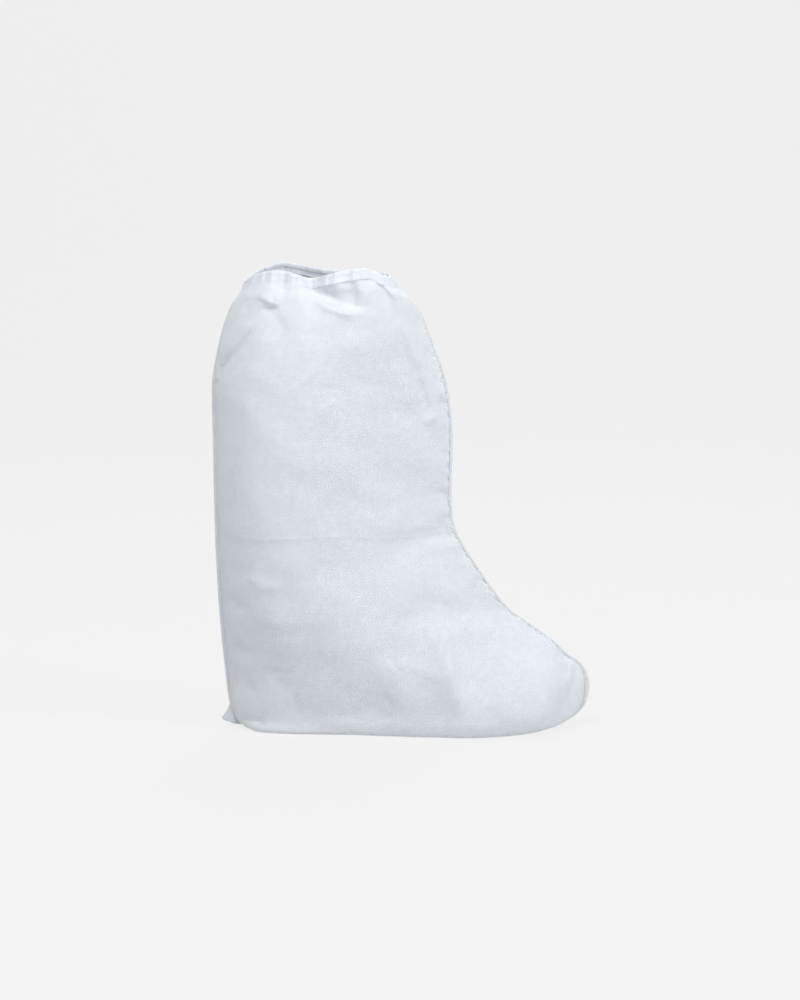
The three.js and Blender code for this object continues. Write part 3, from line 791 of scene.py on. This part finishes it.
def mouth_ring(name, section, pleats=0, scallop=0, closed=False):
    """section: (outward, upward) in millimetres. pleats and scallop: how strongly the fine pleats show."""
    places = []
    lengths = []
    climbed = 0
    for index, (outward, upward) in enumerate(section):
        share = max(upward * MM / HEM_HEIGHT, 0)
        shift = pleats * share**0.5 * pleat_wave(MOUTH_SHARE, share)
        lift = scallop * pleat_wave(MOUTH_SHARE + SCALLOP_SHIFT, 0.5) * share
        ring = MOUTH + MOUTH_OUT * ((outward - MOUTH_LEAN * upward) * MM + shift)[:, None]
        ring[:, 2] += upward * MM + lift
        places.append(ring)
        if index:
            climbed += math.dist(section[index - 1], section[index])
        lengths.append(np.stack([MOUTH_ARC / MM, np.full(len(MOUTH), climbed)], axis=-1))
    if closed:
        places.append(places[0])
        lengths.append(lengths[0] + [0, climbed])
    places = np.array(places)
    lengths = np.array(lengths)
    faces = grid_faces(*places.shape[:2], outward=True, ring=True)
    return new_object(name, places, faces, lengths)


# %% Hem
HEM_SECTION = (
    (-0.1, -2.0), (0.0, -0.8), (0.15, 0.6), (0.3, 1.8), (0.4, 2.8), (0.45, 3.6), (0.42, 4.2), (0.5, 4.8),
    (0.65, 5.6), (0.7, 6.6), (0.6, 7.5), (0.3, 8.3), (-0.1, 8.6), (-0.45, 8.4), (-0.8, 7.6), (-1.0, 6.4),
    (-1.05, 5.2), (-1.0, 4.3),
)
hem_cloth = mouth_ring("hem_cloth", HEM_SECTION, pleats=0.4 * MM, scallop=0.35 * MM)
add_modifier(hem_cloth, "SOLIDIFY", thickness=CLOTH, offset=0)
print("hem faces:", len(hem_cloth.data.polygons))

# %% Elastic in the hem
ELASTIC_SECTION = (
    (0.1, 3.3), (0.1, 7.0), (0.0, 7.2), (-0.6, 7.2), (-0.7, 7.0), (-0.7, 3.3), (-0.6, 3.1), (0.0, 3.1),
)
elastic = mouth_ring("elastic", ELASTIC_SECTION, pleats=0.25 * MM, closed=True)
print("elastic faces:", len(elastic.data.polygons))

# %% [markdown]
# ## Stitches
# The seams and the hem are sewn with a fine white thread. A stitch is a short piece of thread that dives
# into the cloth at both ends, so it is drawn as a small curved rod. The stitches of the seams are one mesh
# and
# those of the hem another: a rod is made once as numbers and then placed along the seam's line, once for each
# stitch.

# %% Thread
STITCH_LENGTH = 2.4 * MM
STITCH_PITCH = 3.4 * MM
THREAD_RADIUS = 0.22 * MM
THREAD_ARCH = 1.6
THREAD_DIVE = 0.7
THREAD_SIDES = 6
THREAD_STEPS = 5


def thread_rods(line, away):
    """Points and faces of stitches along a line. away: for each point, the way out of the cloth."""
    steps = np.linalg.norm(np.diff(line, axis=0), axis=1)
    arc = np.concatenate([[0], np.cumsum(steps)])
    starts = np.arange(0.5 * STITCH_PITCH, arc[-1] - STITCH_LENGTH, STITCH_PITCH)
    share = np.linspace(0, 1, THREAD_STEPS)
    at = starts[:, None] + STITCH_LENGTH * share[None, :]
    middle = np.stack([np.interp(at, arc, line[:, axis]) for axis in range(3)], axis=-1)
    out = np.stack([np.interp(at, arc, away[:, axis]) for axis in range(3)], axis=-1)
    out /= np.linalg.norm(out, axis=-1, keepdims=True)
    along = np.gradient(middle, axis=1)
    along /= np.linalg.norm(along, axis=-1, keepdims=True)
    across = np.cross(along, out)
    arch = THREAD_RADIUS * (THREAD_ARCH * np.sin(np.pi * share) - THREAD_DIVE)
    middle = middle + out * arch[None, :, None]
    angle = np.linspace(0, 2 * np.pi, THREAD_SIDES, endpoint=False)
    ring = np.cos(angle)[:, None] * out[..., None, :] + np.sin(angle)[:, None] * across[..., None, :]
    points = middle[..., None, :] + THREAD_RADIUS * ring
    rod = grid_faces(THREAD_STEPS, THREAD_SIDES, outward=True, ring=True)
    jump = THREAD_STEPS * THREAD_SIDES * np.arange(len(starts))
    faces = (rod[None] + jump[:, None, None]).reshape(-1, 4)
    return points.reshape(-1, 3), faces


# %% Many stitches in one mesh
def join_rods(name, seams):
    points = []
    faces = []
    count = 0
    for line, away in seams:
        rod_points, rod_faces = thread_rods(line, away)
        points.append(rod_points)
        faces.append(rod_faces + count)
        count += len(rod_points)
    return new_object(name, np.vstack(points), np.vstack(faces))


print("a stitch every", STITCH_PITCH / MM, "mm")


# %% Lines of the seams
def flap_line(places, column, side):
    """A line up one seam's flap, on the outer face of one panel."""
    rows = np.arange(SOLE_ROWS + 2, len(places) - 1)
    line = places[rows, column] + [0, side * CLOTH / 2, 0]
    return line, np.tile([0.0, side, 0.0], (len(rows), 1))


def hem_line(outward, upward):
    line = MOUTH + MOUTH_OUT * (outward - MOUTH_LEAN * upward)[:, None] * MM + [0, 0, upward * MM]
    line = np.vstack([line, line[:1]])
    return line, np.vstack([MOUTH_OUT, MOUTH_OUT[:1]]) * np.sign(outward)


# %% Stitches of the seams and the hem
BACK_COLUMN = FLAP_COLUMNS - 1
FRONT_COLUMN = -FLAP_COLUMNS
seams = []
for places, side in ((right_places, RIGHT), (left_places, LEFT)):
    for column in (BACK_COLUMN, FRONT_COLUMN):
        seams.append(flap_line(places, column, side))
seam_stitches = join_rods("seam_stitches", seams)
hem_stitches = join_rods("hem_stitches", [hem_line(0.6, 4.2), hem_line(-1.25, 4.9)])
print("stitch faces:", len(seam_stitches.data.polygons), len(hem_stitches.data.polygons))

# %% [markdown]
# ## Colours and nodes
# Colours are given as sRGB hex values, as on a colour card, and turned to the linear values that Blender's
# shaders calculate with. One function adds a node, with its settings, its values and its links.

# %% Colour helper
def linear(code):
    channels = np.array([int(code[start : start + 2], 16) for start in (1, 3, 5)]) / 255
    low = channels / 12.92
    high = ((channels + 0.055) / 1.055) ** 2.4
    return (*np.where(channels <= 0.04045, low, high).tolist(), 1.0)


print("middle grey is", np.round(linear("#808080"), 3))


# %% Node helpers
def add_node(tree, kind, inputs=(), **settings):
    """Adds a node. inputs: pairs of a socket's name or number and a value or another node's output."""
    made = tree.nodes.new("ShaderNode" + kind)
    for setting, value in settings.items():
        setattr(made, setting, value)
    for socket, value in dict(inputs).items():
        if isinstance(value, bpy.types.NodeSocket):
            tree.links.new(value, made.inputs[socket])
        else:
            made.inputs[socket].default_value = value
    return made


def new_material(name):
    material = bpy.data.materials.new(name)
    material.use_nodes = True
    material.node_tree.nodes.clear()
    return material, material.node_tree


print("kinds of material before any is made:", len(bpy.data.materials))


# %% [markdown]
# ## Spunbond polypropylene
# The cloth is spunbond: endless polypropylene fibres are laid down in a random web and welded by a hot
# roller with rows of small raised points. The eye gets three things from it: a matt, slightly bluish white
# with a soft sheen, a fine lattice of pressed points, and small clouds where more or fewer fibres lie.
# Light also passes through it, which is a translucent shader mixed in, and polypropylene has an IOR of
# 1.49. A real lattice has 1.5 to 2 mm from point to point, and it is drawn at 2.0 mm here. Clouds are a few
# millimetres wide. Single fibres, 0.02 mm thick, are too fine to show, so they are drawn as coarse as 0.9 mm.

# %% Where the packing line runs
crease_row = SOLE_ROWS + int(np.argmin(np.abs(HEIGHTS - CREASE_HEIGHT)))
PACKING_LINE_MM = float(right_pattern[crease_row, BODY_COLUMNS // 2, 1])
print("packing line at", round(PACKING_LINE_MM, 1), "mm up the cloth")


# %% Patterns of the cloth
BOND_PITCH_MM = 2.0
CLOUD_SIZE_MM = 7.0
FIBRE_SIZE_MM = 0.9
PACKING_LINE_WIDTH_MM = 3.0


def noise(tree, pattern, size_mm, detail):
    """Noise whose largest spots are about size_mm across."""
    return add_node(tree, "TexNoise", {"Vector": pattern, "Scale": 1 / size_mm, "Detail": detail}).outputs[0]


def bond_points(tree, pattern):
    """1 on a pressed point of the lattice and 0 between the points. pattern: a place in millimetres."""
    axes = add_node(tree, "SeparateXYZ", {0: pattern}).outputs
    half_wave = math.pi / BOND_PITCH_MM / math.sqrt(2)
    turned = []
    for operation in ("ADD", "SUBTRACT"):
        diagonal = add_node(tree, "Math", {0: axes[0], 1: axes[1]}, operation=operation).outputs[0]
        step = add_node(tree, "Math", {0: diagonal, 1: half_wave}, operation="MULTIPLY").outputs[0]
        wave = add_node(tree, "Math", {0: step}, operation="COSINE").outputs[0]
        turned.append(add_node(tree, "Math", {0: wave, 1: wave}, operation="MULTIPLY").outputs[0])
    peaks = add_node(tree, "Math", {0: turned[0], 1: turned[1]}, operation="MULTIPLY").outputs[0]
    limits = {"Value": peaks, "From Min": 0.25, "From Max": 0.75}
    return add_node(tree, "MapRange", limits, interpolation_type="SMOOTHSTEP").outputs[0]


def packing_line(tree, pattern):
    """1 on the straight line where the flat cover was folded for its bag, and 0 a few millimetres away."""
    up = add_node(tree, "SeparateXYZ", {0: pattern}).outputs[1]
    above = add_node(tree, "Math", {0: up, 1: PACKING_LINE_MM}, operation="SUBTRACT").outputs[0]
    away = add_node(tree, "Math", {0: above}, operation="ABSOLUTE").outputs[0]
    limits = {"Value": away, "From Max": PACKING_LINE_WIDTH_MM, "To Min": 1.0, "To Max": 0.0}
    return add_node(tree, "MapRange", limits).outputs[0]


print("points on 100 mm of cloth:", round(100 / BOND_PITCH_MM))


# %% Spunbond cloth
POINT_DEPTH = 0.15 * MM
FIBRE_DEPTH = 0.1 * MM
PACKING_LINE_DEPTH = 0.3 * MM
POINT_TINT = 0.42
POINT_COLOUR = "#CDD4DE"
POLYPROPYLENE_IOR = 1.49


def spunbond(name, light, shade, see_through):
    """light: where the web is thick. shade: where it is thin. see_through: share of light that passes."""
    material, tree = new_material(name)
    pattern = add_node(tree, "UVMap", uv_map="cloth_mm").outputs[0]
    points = bond_points(tree, pattern)
    clouds = noise(tree, pattern, CLOUD_SIZE_MM, 4.0)
    fibres = noise(tree, pattern, FIBRE_SIZE_MM, 3.0)
    density = add_node(tree, "MapRange", {"Value": clouds, "From Min": 0.3, "From Max": 0.7}).outputs[0]
    web = add_node(tree, "Mix", {0: density, 6: linear(shade), 7: linear(light)}, data_type="RGBA").outputs[2]
    pressed = add_node(tree, "Math", {0: points, 1: POINT_TINT}, operation="MULTIPLY").outputs[0]
    colour = add_node(tree, "Mix", {0: pressed, 6: web, 7: linear(POINT_COLOUR)}, data_type="RGBA").outputs[2]
    gloss = add_node(tree, "MapRange", {"Value": points, "To Min": 0.74, "To Max": 0.5}).outputs[0]
    folded = packing_line(tree, pattern)
    edge = {"Height": folded, "Distance": PACKING_LINE_DEPTH, "Strength": 0.7}
    fold_edge = add_node(tree, "Bump", edge).outputs[0]
    dent = {"Height": points, "Distance": POINT_DEPTH, "Strength": 0.8, "Normal": fold_edge}
    dents = add_node(tree, "Bump", dent, invert=True).outputs[0]
    fuzz = {"Height": fibres, "Distance": FIBRE_DEPTH, "Strength": 0.7, "Normal": dents}
    normal = add_node(tree, "Bump", fuzz).outputs[0]
    front = add_node(tree, "BsdfPrincipled", {
        "Base Color": colour,
        "Roughness": gloss,
        "IOR": POLYPROPYLENE_IOR,
        "Sheen Weight": 0.12,
        "Sheen Roughness": 0.5,
        "Normal": normal,
    }).outputs[0]
    through = add_node(tree, "BsdfTranslucent", {"Color": colour, "Normal": normal}).outputs[0]
    both = add_node(tree, "MixShader", {0: see_through, 1: front, 2: through}).outputs[0]
    add_node(tree, "OutputMaterial", {"Surface": both})
    return material


panel_material = spunbond("spunbond_polypropylene", "#F1F3F6", "#EBEEF2", 0.45)
# The hem's cloth is the panels' spunbond painted a little lighter, as painted light that makes up for the
# shade on the hem band.
hem_painted_light_material = spunbond("spunbond_polypropylene_painted_lighter", "#F4F6FA", "#EFF2F7", 0.45)
print("materials:", panel_material.name, hem_painted_light_material.name)

# %% [markdown]
# ## Elastic and thread
# The elastic is braided: rubber threads run along it between polyester ones, which gives it fine ribs
# along its length and, when it is drawn together, fine ribs across. It is a warm, slightly yellowed white.
# The thread is spun polyester, white and a little glossier than the cloth, with a twist of 0.5 mm.
# Rubber has an IOR of 1.52 and polyester one of about 1.54.

# %% Braided elastic
RIB_PITCH_MM = 0.8
CROSS_RIB_PITCH_MM = 1.3
RIB_DEPTH = 0.2 * MM
rubber, rubber_tree = new_material("braided_polyester_elastic")
elastic_pattern = add_node(rubber_tree, "UVMap", uv_map="cloth_mm").outputs[0]
rib_axes = add_node(rubber_tree, "SeparateXYZ", {0: elastic_pattern}).outputs
rib_waves = []
for axis, pitch in ((1, RIB_PITCH_MM), (0, CROSS_RIB_PITCH_MM)):
    ways = {0: rib_axes[axis], 1: 2 * math.pi / pitch}
    step = add_node(rubber_tree, "Math", ways, operation="MULTIPLY").outputs[0]
    rib_waves.append(add_node(rubber_tree, "Math", {0: step}, operation="SINE").outputs[0])
ribs = add_node(rubber_tree, "Math", {0: rib_waves[0], 1: rib_waves[1]}, operation="ADD").outputs[0]
rib_share = add_node(rubber_tree, "MapRange", {"Value": ribs, "From Min": -1.5, "From Max": 1.5}).outputs[0]
# The grooves between the ribs are painted a darker warm white than the crests: painted shade.
rib_shade_ends = {0: rib_share, 6: linear("#E2D9CD"), 7: linear("#F4EFE8")}
rib_painted_shade_colour = add_node(rubber_tree, "Mix", rib_shade_ends, data_type="RGBA").outputs[2]
rib_bump = {"Height": rib_share, "Distance": RIB_DEPTH, "Strength": 0.8}
rib_normal = add_node(rubber_tree, "Bump", rib_bump).outputs[0]
rubber_face = add_node(rubber_tree, "BsdfPrincipled", {
    "Base Color": rib_painted_shade_colour,
    "Roughness": 0.7,
    "IOR": 1.52,
    "Sheen Weight": 0.2,
    "Normal": rib_normal,
}).outputs[0]
add_node(rubber_tree, "OutputMaterial", {"Surface": rubber_face})
print("elastic nodes:", len(rubber_tree.nodes))

# %% Polyester thread
TWIST_MM = 0.5
TWIST_DEPTH = 0.06 * MM
# Blender's wave texture has about 20 bands to a unit at a scale of 1.
TWIST_SCALE = 1000 / TWIST_MM / 20
thread, thread_tree = new_material("spun_polyester_thread")
thread_places = add_node(thread_tree, "TexCoord").outputs["Object"]
twist_settings = {"Vector": thread_places, "Scale": TWIST_SCALE, "Distortion": 1.5}
twist = add_node(thread_tree, "TexWave", twist_settings, bands_direction="DIAGONAL").outputs[0]
# The grooves of the twist are painted darker than its ridges: painted shade.
twist_shade_ends = {0: twist, 6: linear("#D4D9E0"), 7: linear("#EEF1F5")}
twist_painted_shade_colour = add_node(thread_tree, "Mix", twist_shade_ends, data_type="RGBA").outputs[2]
twist_bump = {"Height": twist, "Distance": TWIST_DEPTH, "Strength": 0.6}
twist_normal = add_node(thread_tree, "Bump", twist_bump).outputs[0]
thread_face = add_node(thread_tree, "BsdfPrincipled", {
    "Base Color": twist_painted_shade_colour,
    "Roughness": 0.5,
    "IOR": 1.54,
    "Sheen Weight": 0.1,
    "Normal": twist_normal,
}).outputs[0]
add_node(thread_tree, "OutputMaterial", {"Surface": thread_face})
print("thread nodes:", len(thread_tree.nodes))

# %% Give each piece its material
DRESSED = {
    right_cloth: panel_material,
    left_cloth: panel_material,
    hem_cloth: hem_painted_light_material,
    elastic: rubber,
    seam_stitches: thread,
    hem_stitches: thread,
}
for piece, material in DRESSED.items():
    piece.data.materials.append(material)
print("pieces with a material:", len(DRESSED))

# %% [markdown]
# ## The pieces and the imported model
# Each piece stands for the imported node whose place it takes and rides on the cover's one body. A panel is
# cut as an L from cloth 400 by 500 mm, 0.15 square metres of it, and the hem gathers it. The flat sizes come
# from the lengths measured along the grid.

STANDS_FOR = {
    right_cloth: "right_panel",
    left_cloth: "left_panel",
    hem_cloth: "top_hem",
    elastic: "elastic_band",
}
for piece, node in STANDS_FOR.items():
    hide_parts(node)
for piece in DRESSED:
    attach(piece, "root")
print("packed nodes with a piece in their place:", len(STANDS_FOR))

# %% [markdown]
# ## Floor, light and camera
# The floor is a plain pale sweep, a sheet of paper that curves up behind the object and far in front of it,
# so that no edge shows from any side. The paper glows a little, as an evenly lit one does, and that also
# lights the cover from all round. The main lamp stands at the right and in front, where the cover is
# brightest, and one high up at the left models the folds under the hem. A weak one at the left keeps the
# shadows open, and one behind shines through the cloth. The camera stands three metres away, ten degrees up.

# %% Pale sweep
SWEEP_BACK = 1.6
SWEEP_FRONT = -3.4
SWEEP_SIDES = (-6.0, 6.0)
SWEEP_CURVE = 0.9
SWEEP_HEIGHT = 4.0
bend = np.linspace(0, math.pi / 2, 17)
rise = SWEEP_CURVE * (1 - np.cos(bend))
profile = np.concatenate([
    [(SWEEP_FRONT - SWEEP_CURVE, SWEEP_HEIGHT)],
    np.stack([SWEEP_FRONT - SWEEP_CURVE * np.sin(bend), rise], axis=-1)[::-1],
    np.stack([SWEEP_BACK + SWEEP_CURVE * np.sin(bend), rise], axis=-1),
    [(SWEEP_BACK + SWEEP_CURVE, SWEEP_HEIGHT)],
])
sweep_points = np.array([[(x, y, z + FLOOR) for x in SWEEP_SIDES] for y, z in profile])
sweep = new_object("sweep", sweep_points, grid_faces(len(profile), 2, outward=True))
print("sweep:", len(sweep.data.polygons), "faces")

# %% Paper of the sweep
PAPER_GLOW = 0.79
paper, paper_tree = new_material("pale_paper")
grain = add_node(paper_tree, "TexNoise", {"Scale": 300.0, "Detail": 2.0}).outputs[0]
paper_ends = {0: grain, 6: linear("#494949"), 7: linear("#4C4C4C")}
paper_colour = add_node(paper_tree, "Mix", paper_ends, data_type="RGBA").outputs[2]
paper_face = add_node(paper_tree, "BsdfPrincipled", {
    "Base Color": paper_colour,
    "Roughness": 0.95,
    "Specular IOR Level": 0.1,
    "Emission Color": linear("#FFFFFF"),
    "Emission Strength": PAPER_GLOW,
}).outputs[0]
add_node(paper_tree, "OutputMaterial", {"Surface": paper_face})
sweep.data.materials.append(paper)
print("glow of the paper:", PAPER_GLOW)


# %% Soft light
def soft_lamp(name, place, aim, width, power):
    lamp = bpy.data.lights.new(name, "AREA")
    lamp.shape = "SQUARE"
    lamp.size = width
    lamp.energy = power
    made = bpy.data.objects.new(name, lamp)
    made.location = place
    made.rotation_euler = (Vector(aim) - Vector(place)).to_track_quat("-Z", "Y").to_euler()
    bpy.context.scene.collection.objects.link(made)


MIDDLE = (0.1, 0.0, 0.23)
soft_lamp("key", (2.4, -1.2, 1.5), MIDDLE, 0.6, 45)
soft_lamp("fill", (-1.6, -2.2, 0.9), MIDDLE, 1.4, 4)
soft_lamp("top", (-0.4, -0.8, 2.4), MIDDLE, 0.5, 37)
soft_lamp("back", (0.2, 1.2, 2.2), MIDDLE, 1.0, 15)
print("lamps:", len(bpy.data.lights))

# %% Light of the room
ROOM_LIGHT = 0.15
world = bpy.data.worlds.new("pale_room")
world.use_nodes = True
background = world.node_tree.nodes["Background"]
background.inputs["Color"].default_value = linear("#F2F4F7")
background.inputs["Strength"].default_value = ROOM_LIGHT
bpy.context.scene.world = world
bpy.context.scene.view_settings.view_transform = "Standard"
print("strength of the room's light:", ROOM_LIGHT)

# %% Camera
CAMERA_DISTANCE = 3.0
CAMERA_RISE = math.radians(10)
LENS_MM = 72
SENSOR_MM = 24
AIM_X = 0.1
AIM_Z = 0.2301
camera_data = bpy.data.cameras.new("camera")
camera_data.sensor_fit = "VERTICAL"
camera_data.sensor_height = SENSOR_MM
camera_data.lens = LENS_MM
camera = bpy.data.objects.new("camera", camera_data)
camera.location = (
    AIM_X,
    -CAMERA_DISTANCE * math.cos(CAMERA_RISE),
    AIM_Z + CAMERA_DISTANCE * math.sin(CAMERA_RISE),
)
camera.rotation_euler = (math.pi / 2 - CAMERA_RISE, 0, 0)
bpy.context.scene.collection.objects.link(camera)
bpy.context.scene.camera = camera
print("camera at", np.round(camera.location, 3))
